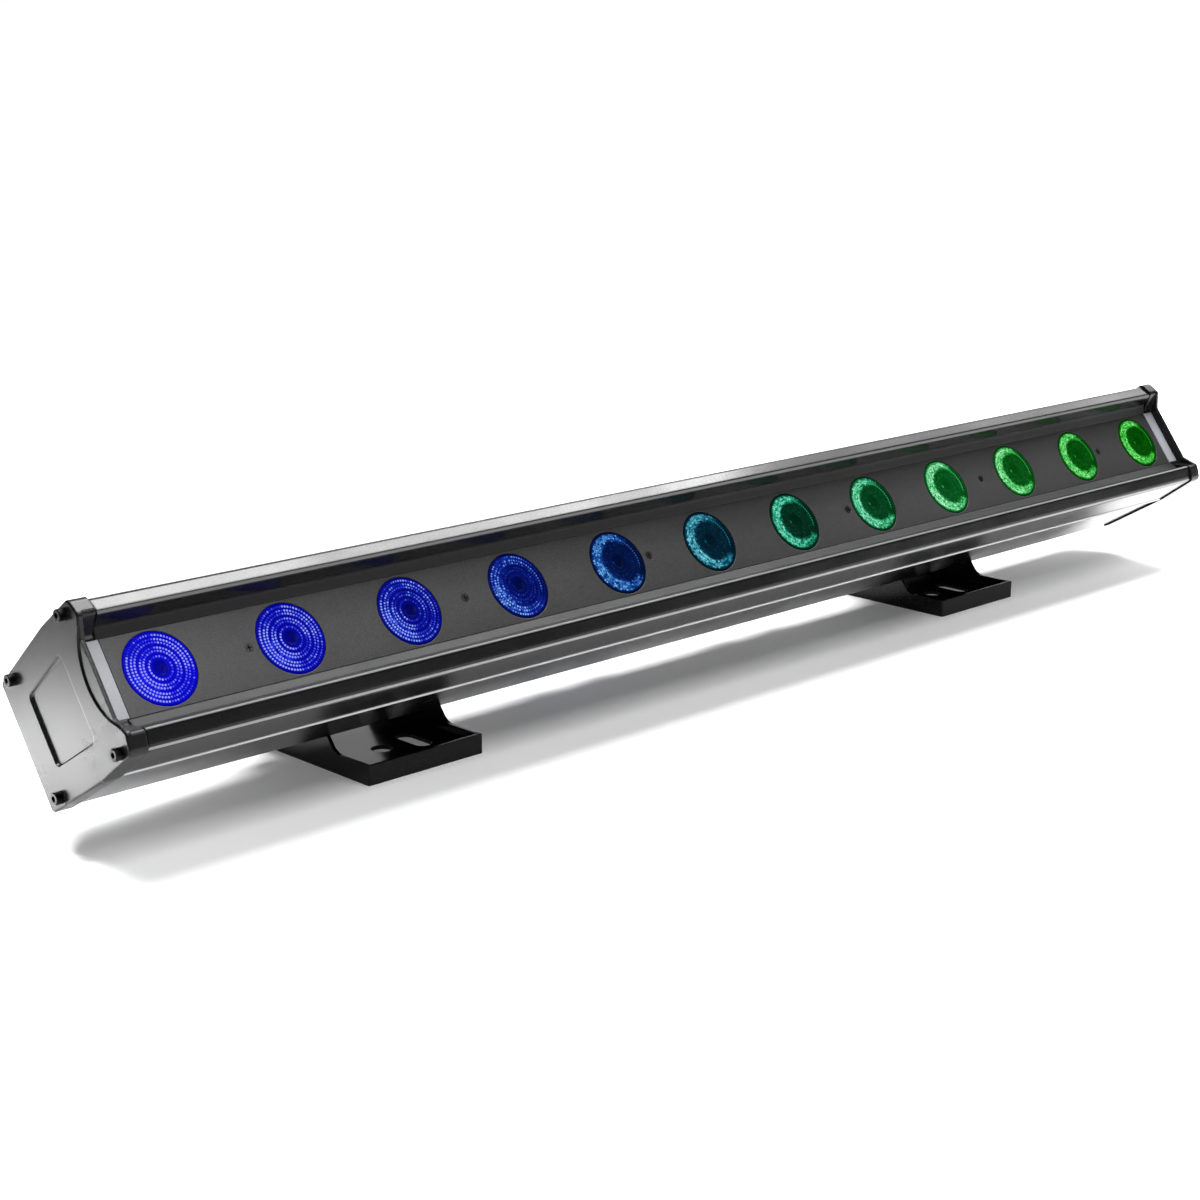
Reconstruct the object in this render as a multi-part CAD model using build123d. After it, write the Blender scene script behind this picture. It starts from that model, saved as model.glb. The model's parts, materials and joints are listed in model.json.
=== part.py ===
from build123d import *

import os
from math import acos, atan2, cos, radians, sin

# LED strip batten: a tilting extruded light bar on two tray feet.
#
# Millimetres. +X runs along the bar, +Y to the back and +Z up. The origin is on the resting plane,
# midway between the round fixing holes of the two feet. The bar faces -Y, tilted upwards.
#
# Parts of the light bar (the head) are drawn in the head's own section frame, and placed at the
# end: s runs up across the lens panel, n points straight out of it, and both are zero on the line
# of the lens centres. There, +Z is along the bar.

# ---------------------------------------------------------------- driving dimensions
lens_count = 12
face_to_face = 1000.0
lens_pitch = face_to_face / lens_count
panel_tilt = 36.5
lens_line_y = -55.1
lens_line_z = 103.4

lens_radius = 21.2
lens_hole_radius = 21.5
lens_seat_radius = 20.2
lens_proud = 0.9
lens_depth = 21.0

panel_half_height = 22.6
panel_length = 971.8
panel_screw_spots = (97.5, 250.0, 402.5)
panel_screw_length = 8.0
countersink_radius = 3.0
countersink_depth = 1.5

cap_depth = 11.2
cap_plate = 4.5
cap_front_n = 6.2
cap_flange_lip = 22.4
cap_skirt_lip = 25.4
cap_skirt_n = 1.4
cap_proud = 1.0
cap_hollow = [(37.0, -7.0), (37.0, -28.0), (33.2, -79.0)]
cap_boss_radius = 6.0
scoop_depth = 0.9
scoop_end = (30.0, 12.2)
scoop_middle_n = -4.0
gasket_thickness = 1.2
pocket_half = [(25.6, -16.5), (21.2, -62.5)]
pocket_corner_radius = 4.0
pocket_depth = 1.6
pocket_draft = 0.9
cap_screw_head_radius = 3.5
cap_screw_head_height = 4.0
cap_screw_length = 26.0
strip_width = 10.3
strip_outer_x = 496.6
strip_rise = 0.5

horn_tip = (32.4, 12.6)
horn_shoulder = (43.3, 8.0)
horn_foot = [(27.2, 2.0), (28.4, 2.6)]
horn_hollow = [(30.6, 0.4), (33.4, 8.0), (35.4, 7.0), (35.4, 0.4)]
rib_s = 42.9
rib_n = -25.0
rib_radius = 1.1
rear_half_height = 37.6
rear_n = -84.0
rear_corner = 2.0
rear_grooves = ((35.5, 33.5), (31.0, 29.0))
rear_groove_depth = 1.2
wall = 2.2
rear_wall = 3.0
panel_gap = 0.1
web_front = -2.0
web_thickness = 2.5
heat_web_n = -26.0
heat_web_thickness = 3.0
wire_slot_s = (22.0, 30.0)
wire_slot_x = (236.0, 246.0)
front_port = (39.3, 1.0)
rear_port = (34.6, -71.0)
port_radius = 2.0
port_wall = 1.9

board_thickness = 1.6
board_half_height = 17.0
board_x = (1.0, 484.0)
emitter_half = 3.5
emitter_height = 0.9
cup_radius = 12.5
cup_front_n = -18.0

supply_x = (168.0, 388.0)
supply_half_height = 29.0
supply_depth = 34.0
driver_x = (-400.0, -170.0)
driver_half_height = 28.0
driver_pillar = 7.0
control_half_length = 44.0
control_half_height = 15.5
control_pillar = 7.4
bundle_radius = 3.0
bundle_s = 24.0
bundle_n = -50.0
bundle_x = (-168.0, 166.0)

rear_panel_half_length = 140.0
rear_panel_half_height = 26.0
rear_panel_thickness = 2.5
rear_gasket_thickness = 1.0
rear_screw_s = 21.0
rear_screw_x = (38.0, 134.0)
cutout_half_length = 128.0
cutout_half_height = 17.5
display_s = (1.0, 17.0)
display_half_length = 22.0
button_spots = (-21.0, -7.0, 7.0, 21.0)
button_s = -9.0
button_radius = 3.6
button_proud = 1.6
connector_shell_radius = 12.0
connector_socket_radius = 10.0
connector_socket_depth = 12.0
connector_body_depth = 18.0
flange_thickness = 2.0
flange_half_height = 15.0
contact_radius = 1.1
signal_x = 60.0
mains_x = 112.0
fuse_radius = 6.0

foot_spacing = 541.0
foot_width = 87.4
foot_front_y = -42.8
foot_back_y = 68.0
foot_floor = 2.5
cheek_thickness = 2.5
lip_height = 12.25
lip_thickness = 2.5
foot_corner_radius = 10.0
fixing_hole_radius = 6.5
slot_width = 12.0
slot_length = 29.0
slot_offset = 25.0

hinge_gap = 18.0
hinge_boss_radius = 12.0
hinge_bolt_radius = 4.0
running_clearance = 0.05
hinge_block_length = 80.0
hinge_flange_half = 24.0
hinge_flange_thickness = 6.0
hinge_screw_s = 18.0
hinge_screw_x = 28.0
hinge_screw_radius = 2.5
bolt_head_height = 5.3
bolt_head_radius = 7.5
bolt_thread = 13.0
friction_washer = 1.0
flat_washer = 1.6
knob_radius = 14.5
knob_length = 18.0
knob_lobes = 6
knob_collar_radius = 9.0
knob_collar_height = 4.0

# ---------------------------------------------------------------- derived places
tilt = radians(panel_tilt)
up_direction = (0, sin(tilt), cos(tilt))
head_plane = Plane(origin=(0, lens_line_y, lens_line_z), x_dir=up_direction, z_dir=(1, 0, 0))
cap_face = face_to_face / 2
cap_inner = cap_face - cap_depth
housing_half = cap_inner - gasket_thickness
hinge_n = rear_n - hinge_gap
hinge_y = lens_line_y - hinge_n * cos(tilt)
hinge_z = lens_line_z + hinge_n * sin(tilt)
board_top_n = heat_web_n + board_thickness
heat_web_back = heat_web_n - heat_web_thickness
rear_panel_inner_n = rear_n - rear_gasket_thickness
rear_panel_outer_n = rear_panel_inner_n - rear_panel_thickness
lens_spots = [(i - (lens_count - 1) / 2) * lens_pitch for i in range(lens_count)]
fuse_x = -(mains_x + signal_x) / 2
sides = {"left": -1, "right": 1}


# ---------------------------------------------------------------- helpers
def in_head(shape):
    """Place a shape drawn in the section frame (s, n, along the bar)."""
    return head_plane.location * shape


def save(name, shape):
    """Write one node. A list becomes a group of separate solids."""
    if isinstance(shape, list):
        solids = [solid for piece in shape for solid in piece.solids()]
        shape = Compound(children=solids)
    export_step(shape, f"parts/{name}.step")


def chamber(half):
    """Symmetrical face from the half of its outline with s >= 0, given from front to back."""
    return make_face(Polyline(*half, *[(-s, n) for s, n in reversed(half)], close=True))


def rounded(face, corners, radius):
    """Round the corners of a face at the given places and their mirror images."""
    picked = [
        vertex
        for vertex in face.vertices()
        if any(abs(abs(vertex.X) - s) < 0.01 and abs(vertex.Y - n) < 0.01 for s, n in corners)
    ]
    return fillet(picked, radius)


def slab(s_range, n_range, x_range):
    """Block given by its ranges in s, n and x."""
    low, high = zip(s_range, n_range, x_range)
    size = [b - a for a, b in zip(low, high)]
    return Pos(*low) * Box(*size, align=(Align.MIN, Align.MIN, Align.MIN))


def rod_along_n(radius, s, x, n_front, n_back):
    """Round bar across the section, from n_front back to n_back."""
    length = n_front - n_back
    spot = Location((s, n_back, x), (-90, 0, 0))
    return spot * Cylinder(radius, length, align=(Align.CENTER, Align.CENTER, Align.MIN))


def cone_along_n(front_radius, back_radius, s, x, n_front, n_back):
    """Cone frustum across the section, from n_front back to n_back."""
    spot = Location((s, n_back, x), (-90, 0, 0))
    bottom = (Align.CENTER, Align.CENTER, Align.MIN)
    return spot * Cone(back_radius, front_radius, n_front - n_back, align=bottom)


def rod_along_x(radius, x_low, x_high):
    """Round bar along the bar, drawn in the section frame at s = n = 0."""
    spot = Pos(0, 0, x_low)
    return spot * Cylinder(radius, x_high - x_low, align=(Align.CENTER, Align.CENTER, Align.MIN))


def plate(face, x_from, x_to):
    """Section face turned into a plate between two places along the bar."""
    low, high = sorted((x_from, x_to))
    return Pos(0, 0, low) * extrude(face, amount=high - low)


def edges_at(body, level):
    """Edges that lie at one height of the drawing's third axis."""
    return body.edges().filter_by_position(Axis.Z, level - 0.01, level + 0.01)


def corner_ports():
    """Screw ports at the four corners of the section."""
    return [(sign * s, n) for s, n in (front_port, rear_port) for sign in (-1, 1)]


# ---------------------------------------------------------------- housing
def housing_outline():
    """Outer section: panel seat, sloped lips, rounded horns, ribbed sides and rear face."""
    seat_s = panel_half_height + panel_gap
    half = [(seat_s, web_front), (seat_s, 0.0), *horn_foot, horn_tip, horn_shoulder]
    half += [(horn_shoulder[0], rib_n), (rib_s, rib_n)]
    half += [(rear_half_height, rear_n + rear_corner), (rear_half_height - rear_corner, rear_n)]
    groove_n = rear_n + rear_groove_depth
    for outer, inner in rear_grooves:
        half += [(outer, rear_n), (outer, groove_n), (inner, groove_n), (inner, rear_n)]
    face = chamber(half)
    face = rounded(face, [horn_tip], 2.2)
    face = rounded(face, [horn_shoulder], 4.0)
    face = rounded(face, [(seat_s, 0.0)], 0.6)
    for s in (rib_s, -rib_s):
        face += Pos(s, rib_n) * Circle(rib_radius)
    return face


def housing_section():
    """Walls, front web with the panel seat, heat web and screw ports."""
    side_s = horn_shoulder[0] - wall
    rear_s = rear_half_height - wall
    web_back = web_front - web_thickness
    front_chamber = chamber([(side_s, web_back), (side_s, heat_web_n)])
    rear_chamber = chamber(
        [
            (side_s - 0.8, heat_web_back),
            (rear_s - 0.2, rear_n + rear_wall + 1.5),
            (rear_s - 1.7, rear_n + rear_wall),
        ]
    )
    hollow = make_face(Polyline(*horn_hollow, close=True))
    section = housing_outline() - front_chamber - rear_chamber
    section -= hollow
    section -= mirror(hollow, about=Plane.YZ)
    for s, n in (rear_port, (-rear_port[0], rear_port[1])):
        section += Pos(s, n) * Circle(port_radius + port_wall)
    for s, n in corner_ports():
        section -= Pos(s, n) * Circle(port_radius)
    return section


def hinge_screw_spots(x_centre):
    """Places (s, x) of the four screws of one hinge block."""
    offsets = (-hinge_screw_x, hinge_screw_x)
    return [(s, x_centre + x) for s in (-hinge_screw_s, hinge_screw_s) for x in offsets]


def rear_panel_screw_spots():
    """Places (s, x) of the screws of the rear control panel."""
    rows = (-rear_screw_s, rear_screw_s)
    return [(s, side * x) for x in reversed(rear_screw_x) for s in rows for side in sides.values()]


def housing_extrusion():
    body = extrude(housing_section(), amount=housing_half, both=True)
    for x in lens_spots:
        body -= rod_along_n(lens_seat_radius, 0, x, 0, web_front - web_thickness)
    for x in panel_screw_spots:
        for side in sides.values():
            body -= rod_along_n(1.5, 0, side * x, 0, web_front - web_thickness)
    cutout_n = (rear_n, rear_n + rear_wall)
    cutout_x = (-cutout_half_length, cutout_half_length)
    body -= slab((-cutout_half_height, cutout_half_height), cutout_n, cutout_x)
    for side in sides.values():
        for s, x in hinge_screw_spots(side * foot_spacing / 2):
            body -= rod_along_n(hinge_screw_radius, s, x, rear_n + rear_wall, rear_n)
        slot_x = sorted(side * x for x in wire_slot_x)
        body -= slab(wire_slot_s, (heat_web_back, heat_web_n), slot_x)
    for s, x in rear_panel_screw_spots():
        body -= rod_along_n(1.5, s, x, rear_n + rear_wall, rear_n)
    return body


# ---------------------------------------------------------------- end caps
def cap_outline(lip, front):
    """End cap's outline, a little proud of the housing, from lip, where its front edge meets the horn."""
    tip = (horn_tip[0] + 1.0, horn_tip[1] + 0.9)
    shoulder = (horn_shoulder[0] + cap_proud, horn_shoulder[1] + 1.6)
    rear = (rear_half_height + cap_proud, rear_n - cap_proud)
    face = chamber([(lip, front), tip, shoulder, (shoulder[0], rib_n), rear])
    face = rounded(face, [tip, rear], 3.0)
    return rounded(face, [shoulder], 4.5)


def scoop_outline():
    """Shallow crescent taken off the cap's outer face along its front edge."""
    other_end = (-scoop_end[0], scoop_end[1])
    arc = ThreePointArc(scoop_end, (0, scoop_middle_n), other_end)
    return make_face([arc.edge(), Line(other_end, scoop_end).edge()])


def pocket_outline():
    """Trapezoid pocket in the cap's outer face, a little wider towards the front."""
    face = chamber(pocket_half)
    return fillet(face.vertices(), pocket_corner_radius)


def pocket(side):
    """Solid of the pocket, with drafted walls."""
    outer = pocket_outline().face()
    inner = offset(outer, -pocket_draft).face()
    floor_x = side * (cap_face - pocket_depth)
    return loft([Pos(0, 0, side * cap_face) * outer, Pos(0, 0, floor_x) * inner])


def end_cap(side):
    """Cast cover: plate with a pocket and a scooped front edge, skirt, hollow inside, screw bores."""
    face_x = side * cap_face
    flange_x = side * (strip_outer_x + 0.2)
    inner_x = side * cap_inner
    body = plate(cap_outline(cap_flange_lip, cap_front_n), flange_x, face_x)
    body = chamfer(edges_at(body, face_x), 0.8)
    body -= plate(scoop_outline(), side * (cap_face - scoop_depth), face_x)
    body -= pocket(side)
    body += plate(cap_outline(cap_skirt_lip, cap_skirt_n), inner_x, flange_x)
    inside = chamber(cap_hollow)
    for s, n in corner_ports():
        inside -= Pos(s, n) * Circle(cap_boss_radius)
    body -= plate(inside, inner_x, side * (cap_face - cap_plate))
    seat_s = panel_half_height + 0.4
    body -= slab((-seat_s, seat_s), (web_front, 20.0), sorted((inner_x, flange_x)))
    for s, n in corner_ports():
        body -= Pos(s, n, 0) * rod_along_x(port_radius + 0.15, *sorted((inner_x, face_x)))
    return body


def end_gasket(side):
    """Flat sealing ring between the cap and the end of the housing."""
    outer = chamber([(23.5, -2.4), (41.6, -2.4), (41.6, -28.0), (36.4, -82.6)])
    for s, n in corner_ports():
        outer += Pos(s, n) * Circle(4.0)
    outer -= chamber(cap_hollow)
    for s, n in corner_ports():
        outer += Pos(s, n) * Circle(4.0)
    for s, n in corner_ports():
        outer -= Pos(s, n) * Circle(port_radius + 0.15)
    return plate(outer, side * housing_half, side * cap_inner)


def cap_screws(side):
    """Four socket head screws, each standing on the cap's outer face."""
    seat_x = side * cap_face
    top_x = side * (cap_face + cap_screw_head_height)
    shank_x = side * (cap_face - cap_screw_length)
    shank = rod_along_x(port_radius - 0.05, *sorted((shank_x, seat_x)))
    head = rod_along_x(cap_screw_head_radius, *sorted((seat_x, top_x)))
    head = chamfer(edges_at(head, top_x), 0.4)
    socket_x = side * (cap_face + cap_screw_head_height / 2)
    socket = plate(RegularPolygon(cap_screw_head_radius / 2, 6), socket_x, top_x)
    screw = shank + head - socket
    return [Pos(s, n, 0) * screw for s, n in corner_ports()]


def panel_end_strip(side):
    """Anodised retaining strip that covers the joint between panel and cap."""
    inner = strip_outer_x - strip_width
    x_range = sorted((side * inner, side * strip_outer_x))
    body = slab((-panel_half_height, panel_half_height), (web_front, strip_rise), x_range)
    top_edges = body.edges().filter_by_position(Axis.Y, strip_rise - 0.01, strip_rise + 0.01)
    return chamfer(top_edges, 0.4)


# ---------------------------------------------------------------- lens panel and light engine
def lens_panel():
    half = panel_length / 2
    body = slab((-panel_half_height, panel_half_height), (web_front, 0.0), (-half, half))
    for x in lens_spots:
        body -= rod_along_n(lens_hole_radius, 0, x, 0, web_front)
    for x in panel_screw_spots:
        for side in sides.values():
            body -= cone_along_n(countersink_radius, 1.55, 0, side * x, 0, -countersink_depth)
            body -= rod_along_n(1.55, 0, side * x, 0, web_front)
    return body


def panel_screws():
    """Countersunk screws of the lens panel, with a cross recess."""
    screws = []
    for x in panel_screw_spots:
        for side in sides.values():
            middle = side * x
            head_radius = countersink_radius - 0.1
            screw = cone_along_n(head_radius, 1.45, 0, middle, -0.05, -countersink_depth)
            screw += rod_along_n(1.45, 0, middle, 0.1 - countersink_depth, -panel_screw_length)
            for reach_s, reach_x in ((1.6, 0.35), (0.35, 1.6)):
                recess_x = (middle - reach_x, middle + reach_x)
                screw -= slab((-reach_s, reach_s), (-0.9, 0.0), recess_x)
            screws.append(screw)
    return screws


def lens(x):
    """Collimator lens: shallow dome on a rim, and a cone down to the emitter."""
    edge_n = 0.1
    rise = lens_proud - edge_n
    dome_radius = (lens_radius**2 + rise**2) / (2 * rise)
    halfway = lens_radius / 2
    halfway_n = lens_proud - dome_radius + (dome_radius**2 - halfway**2) ** 0.5
    outline = Polyline(
        (0, lens_proud),
        (0, -lens_depth),
        (9.0, -lens_depth),
        (lens_seat_radius - 0.4, web_front),
        (lens_radius, web_front),
        (lens_radius, edge_n),
    )
    dome = ThreePointArc((lens_radius, edge_n), (halfway, halfway_n), (0, lens_proud))
    solid = revolve(make_face([*outline.edges(), dome.edge()]), Axis.Y)
    return Pos(0, 0, x) * solid


def lens_holders():
    """Cup under each lens that centres it on its emitter."""
    holders = []
    for x in lens_spots:
        cup = rod_along_n(cup_radius, 0, x, cup_front_n, board_top_n)
        cup -= rod_along_n(cup_radius - 1.7, 0, x, cup_front_n, -lens_depth)
        cup -= rod_along_n(5.6, 0, x, cup_front_n, board_top_n)
        holders.append(cup)
    return holders


def led_board(side):
    """Metal-core board with six emitters, on the heat web."""
    x_range = sorted(side * x for x in board_x)
    body = slab((-board_half_height, board_half_height), (heat_web_n, board_top_n), x_range)
    terminal_x = sorted((side * 238.0, side * wire_slot_x[1]))
    return body + slab((9.0, 16.0), (board_top_n, board_top_n + 5.0), terminal_x)


def led_emitters():
    """Four-colour emitter package under each lens."""
    emitters = []
    for x in lens_spots:
        top = board_top_n + emitter_height
        base_x = (x - emitter_half, x + emitter_half)
        base = slab((-emitter_half, emitter_half), (board_top_n, top), base_x)
        dome = rod_along_n(2.6, 0, x, top + 0.6, top)
        emitters.append(base + dome)
    return emitters


# ---------------------------------------------------------------- electronics
def power_supply():
    """Enclosed power supply on the back of the heat web."""
    back = heat_web_back - supply_depth
    body = slab((-supply_half_height, supply_half_height), (back, heat_web_back), supply_x)
    body = chamfer(body.edges().filter_by(Axis.Z), 1.5)
    for i in range(6):
        x = supply_x[0] + 22.0 + i * 32.0
        body -= slab((-20.0, 20.0), (back, back + 1.5), (x, x + 6.0))
    return body


def driver_board():
    """Constant-current driver board on four pillars, with its coils and capacitors."""
    face = heat_web_back - driver_pillar
    body = slab((-driver_half_height, driver_half_height), (face - board_thickness, face), driver_x)
    for s in (4.0 - driver_half_height, driver_half_height - 4.0):
        for x in (driver_x[0] + 6.0, driver_x[1] - 6.0):
            body += rod_along_n(3.0, s, x, heat_web_back, face - 1.0)
    for i in range(6):
        x = driver_x[0] + 20.0 + i * 36.0
        body += slab((-8.0, 6.0), (face - 13.0, face - 1.0), (x, x + 14.0))
        body += rod_along_n(5.0, 17.0, x + 7.0, face - 1.0, face - 15.0)
    return body


def control_board():
    """Board behind the rear panel, on four pillars, with a switch under each button."""
    back = rear_panel_inner_n
    face = back + control_pillar
    board_s = (-control_half_height, control_half_height)
    body = slab(board_s, (face, face + board_thickness), (-control_half_length, control_half_length))
    for s in (2.5 - control_half_height, control_half_height - 2.5):
        for x in (4.0 - control_half_length, control_half_length - 4.0):
            body += rod_along_n(2.5, s, x, face + 0.6, back)
    for x in button_spots:
        body += slab((button_s - 3.0, button_s + 3.0), (back + 2.9, face + 0.1), (x - 3.0, x + 3.0))
    return body


def wiring_harness():
    """Two bundles: supply to driver board, and supply to the light boards' end."""
    bundle = rod_along_x(bundle_radius, *bundle_x)
    return [Pos(s, bundle_n, 0) * bundle for s in (bundle_s, -bundle_s)]


# ---------------------------------------------------------------- rear control panel
def rear_panel():
    """Cover plate with display opening, button holes and connector holes."""
    x_half = rear_panel_half_length
    s_half = rear_panel_half_height
    n_range = (rear_panel_outer_n, rear_panel_inner_n)
    body = slab((-s_half, s_half), n_range, (-x_half, x_half))
    corners = body.edges().filter_by(Axis.Y)
    body = fillet(corners, 4.0)
    body -= slab(display_s, n_range, (-display_half_length, display_half_length))
    for x in button_spots:
        body -= rod_along_n(button_radius + 0.3, button_s, x, *reversed(n_range))
    for x in (-mains_x, -signal_x, signal_x, mains_x):
        body -= rod_along_n(connector_shell_radius, 0, x, *reversed(n_range))
    body -= rod_along_n(fuse_radius + 0.1, 0, fuse_x, *reversed(n_range))
    for s, x in rear_panel_screw_spots():
        body -= rod_along_n(1.6, s, x, *reversed(n_range))
    return body


def rear_gasket():
    n_range = (rear_panel_inner_n, rear_n)
    x_half = rear_panel_half_length - 0.5
    s_half = rear_panel_half_height - 0.5
    body = slab((-s_half, s_half), n_range, (-x_half, x_half))
    body = fillet(body.edges().filter_by(Axis.Y), 3.5)
    inner_x = (-cutout_half_length, cutout_half_length)
    body -= slab((-cutout_half_height, cutout_half_height), n_range, inner_x)
    for s, x in rear_panel_screw_spots():
        body -= rod_along_n(1.6, s, x, rear_n, rear_panel_inner_n)
    return body


def rear_panel_screws():
    """Pan head screws of the rear panel."""
    screws = []
    for s, x in rear_panel_screw_spots():
        top = rear_panel_outer_n - 1.8
        head = rod_along_n(2.8, s, x, rear_panel_outer_n, top)
        head = fillet(head.edges().sort_by(Axis.Y)[0], 0.9)
        shank = rod_along_n(1.45, s, x, rear_n + rear_wall, rear_panel_outer_n)
        slot = slab((s - 1.6, s + 1.6), (top, top + 0.9), (x - 0.4, x + 0.4))
        screws.append(head + shank - slot)
    return screws


def display_window():
    """Clear window set in the rear panel's opening."""
    n_range = (rear_panel_outer_n + 0.2, rear_panel_inner_n)
    return slab(display_s, n_range, (-display_half_length, display_half_length))


def display_module():
    """Display between the window and the control board."""
    n_range = (rear_panel_inner_n + 0.6, rear_panel_inner_n + control_pillar)
    half = display_half_length - 1.0
    return slab((display_s[0] + 0.5, display_s[1] - 2.0), n_range, (-half, half))


def menu_button(x):
    """Push button with a retaining collar behind the rear panel."""
    front = rear_panel_inner_n + 1.6
    back = rear_panel_outer_n - button_proud
    stem = rod_along_n(button_radius, button_s, x, front, back)
    stem = fillet(stem.edges().sort_by(Axis.Y)[0], 0.8)
    collar = rod_along_n(button_radius + 1.0, button_s, x, front, front - 1.2)
    return stem + collar


def connector(x, half_width, pin_ring, pins):
    """Chassis socket: flange, round shell open to the back, insert with short contacts."""
    front = rear_panel_outer_n
    back = front - flange_thickness
    shell_back = back - connector_socket_depth
    body = rod_along_n(connector_shell_radius - 0.4, 0, x, front + connector_body_depth, front)
    flange_s = (-flange_half_height, flange_half_height)
    flange = slab(flange_s, (back, front), (x - half_width, x + half_width))
    body += fillet(flange.edges().filter_by(Axis.Y), 3.0)
    shell = rod_along_n(connector_shell_radius, 0, x, back, shell_back)
    shell -= rod_along_n(connector_socket_radius, 0, x, back, shell_back)
    body += shell
    for i in range(pins):
        turn = radians(360.0 * i / pins)
        pin_s = pin_ring * cos(turn)
        pin_x = x + pin_ring * sin(turn)
        body += rod_along_n(contact_radius, pin_s, pin_x, back + 0.1, back - 2.5)
    return body


def fuse_holder():
    """Screw cap fuse holder."""
    rim_back = rear_panel_outer_n - 2.0
    grip_back = rim_back - 7.0
    body = rod_along_n(fuse_radius, 0, fuse_x, rear_panel_inner_n + 16.0, rear_panel_outer_n)
    rim = rod_along_n(fuse_radius + 1.5, 0, fuse_x, rear_panel_outer_n, rim_back)
    grip = rod_along_n(fuse_radius - 0.4, 0, fuse_x, rim_back, grip_back)
    slot = slab((-4.5, 4.5), (grip_back, grip_back + 1.4), (fuse_x - 0.7, fuse_x + 0.7))
    return body + rim + grip - slot


# ---------------------------------------------------------------- hinge parts on the head
def hinge_block(x_centre):
    """Block on the rear face that carries the tilt axis."""
    half = hinge_block_length / 2
    flange_n = rear_n - hinge_flange_thickness
    section = chamber([(hinge_flange_half, rear_n), (hinge_flange_half, flange_n)])
    section += chamber([(hinge_boss_radius, rear_n), (hinge_boss_radius, hinge_n)])
    section += Pos(0, hinge_n) * Circle(hinge_boss_radius)
    section -= Pos(0, hinge_n) * Circle(hinge_bolt_radius + running_clearance)
    body = plate(section, x_centre - half, x_centre + half)
    for s, x in hinge_screw_spots(x_centre):
        body -= rod_along_n(hinge_screw_radius + 0.1, s, x, rear_n, flange_n)
    return body


def hinge_block_screws(x_centre):
    """Four socket head screws that hold a hinge block to the housing."""
    seat = rear_n - hinge_flange_thickness
    top = seat - 2 * hinge_screw_radius
    screws = []
    for s, x in hinge_screw_spots(x_centre):
        shank = rod_along_n(hinge_screw_radius - 0.05, s, x, rear_n + rear_wall + 2.0, seat)
        head = rod_along_n(4.2, s, x, seat, top)
        socket = rod_along_n(2.0, s, x, top + hinge_screw_radius, top)
        screws.append(shank + head - socket)
    return screws


# ---------------------------------------------------------------- feet
def tangent_point(outside, centre, radius):
    """Where the line from a point outside a circle touches it, on the upper back side."""
    dy = outside[0] - centre[0]
    dz = outside[1] - centre[1]
    reach = (dy**2 + dz**2) ** 0.5
    turn = atan2(dz, dy) + acos(radius / reach)
    return (centre[0] + radius * cos(turn), centre[1] + radius * sin(turn))


def cheek_face():
    """Side of a foot: low tray wall, leaning front edge, round hinge boss and back edge."""
    hinge = (hinge_y, hinge_z)
    lean = (sin(tilt), cos(tilt))
    touch = (hinge_y - hinge_boss_radius * cos(tilt), hinge_z + hinge_boss_radius * sin(tilt))
    drop = (touch[1] - lip_height) / lean[1]
    corner = (touch[0] - drop * lean[0], lip_height)
    heel = (foot_back_y, 8.0)
    points = [
        (foot_front_y, 0),
        (foot_front_y, lip_height),
        corner,
        touch,
        hinge,
        tangent_point(heel, hinge, hinge_boss_radius),
        heel,
        (foot_back_y, 0),
    ]
    face = make_face(Polyline(*points, close=True))
    inner = face.vertices().sort_by_distance(Vector(*corner))[0]
    face = fillet(inner, foot_corner_radius)
    face += Pos(*hinge) * Circle(hinge_boss_radius)
    return face - Pos(*hinge) * Circle(hinge_bolt_radius + running_clearance)


def foot_bracket(x_centre):
    """Open tray with two cheeks: floor with fixing hole and slot, front lip and hinge bosses."""
    half = foot_width / 2
    side_plane = Plane(origin=(0, 0, 0), x_dir=(0, 1, 0), z_dir=(1, 0, 0))
    cheek = side_plane.location * extrude(cheek_face(), amount=cheek_thickness)
    body = Pos(-half, 0, 0) * cheek + Pos(half - cheek_thickness, 0, 0) * cheek
    low_corner = (Align.CENTER, Align.MIN, Align.MIN)
    length = foot_back_y - foot_front_y
    body += Pos(0, foot_front_y, 0) * Box(foot_width, length, foot_floor, align=low_corner)
    body += Pos(0, foot_front_y, 0) * Box(foot_width, lip_thickness, lip_height, align=low_corner)
    front_edges = [
        edge
        for edge in body.edges().filter_by(Axis.Z)
        if abs(edge.center().Y - foot_front_y) < 0.01
    ]
    body = fillet(front_edges, 1.2)
    body -= Cylinder(fixing_hole_radius, 4 * foot_floor)
    slot = SlotOverall(slot_length, slot_width, rotation=90)
    body -= Pos(slot_offset, 0, -foot_floor) * extrude(slot, amount=3 * foot_floor)
    return Pos(x_centre, 0, 0) * body


def along_hinge(shape, x_centre, side):
    """Place a shape drawn along +Z from the foot's middle outwards onto the hinge axis."""
    outward = Plane(origin=(x_centre, hinge_y, hinge_z), x_dir=(0, 0, 1), z_dir=(side, 0, 0))
    return outward.location * shape


def disc(radius, low, high):
    """Round piece on the hinge axis between two distances from the foot's middle."""
    return Pos(0, 0, low) * Cylinder(radius, high - low, align=(Align.CENTER, Align.CENTER, Align.MIN))


def hinge_bolt(x_centre, side):
    """Hex head bolt through both cheeks, head on the inner side, thread end in the knob."""
    half = foot_width / 2
    shank = disc(hinge_bolt_radius, -half, half + flat_washer + bolt_thread)
    hexagon = extrude(RegularPolygon(bolt_head_radius, 6), amount=bolt_head_height)
    head = Pos(0, 0, -half - bolt_head_height) * hexagon
    return along_hinge(shank + head, x_centre, side)


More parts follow.
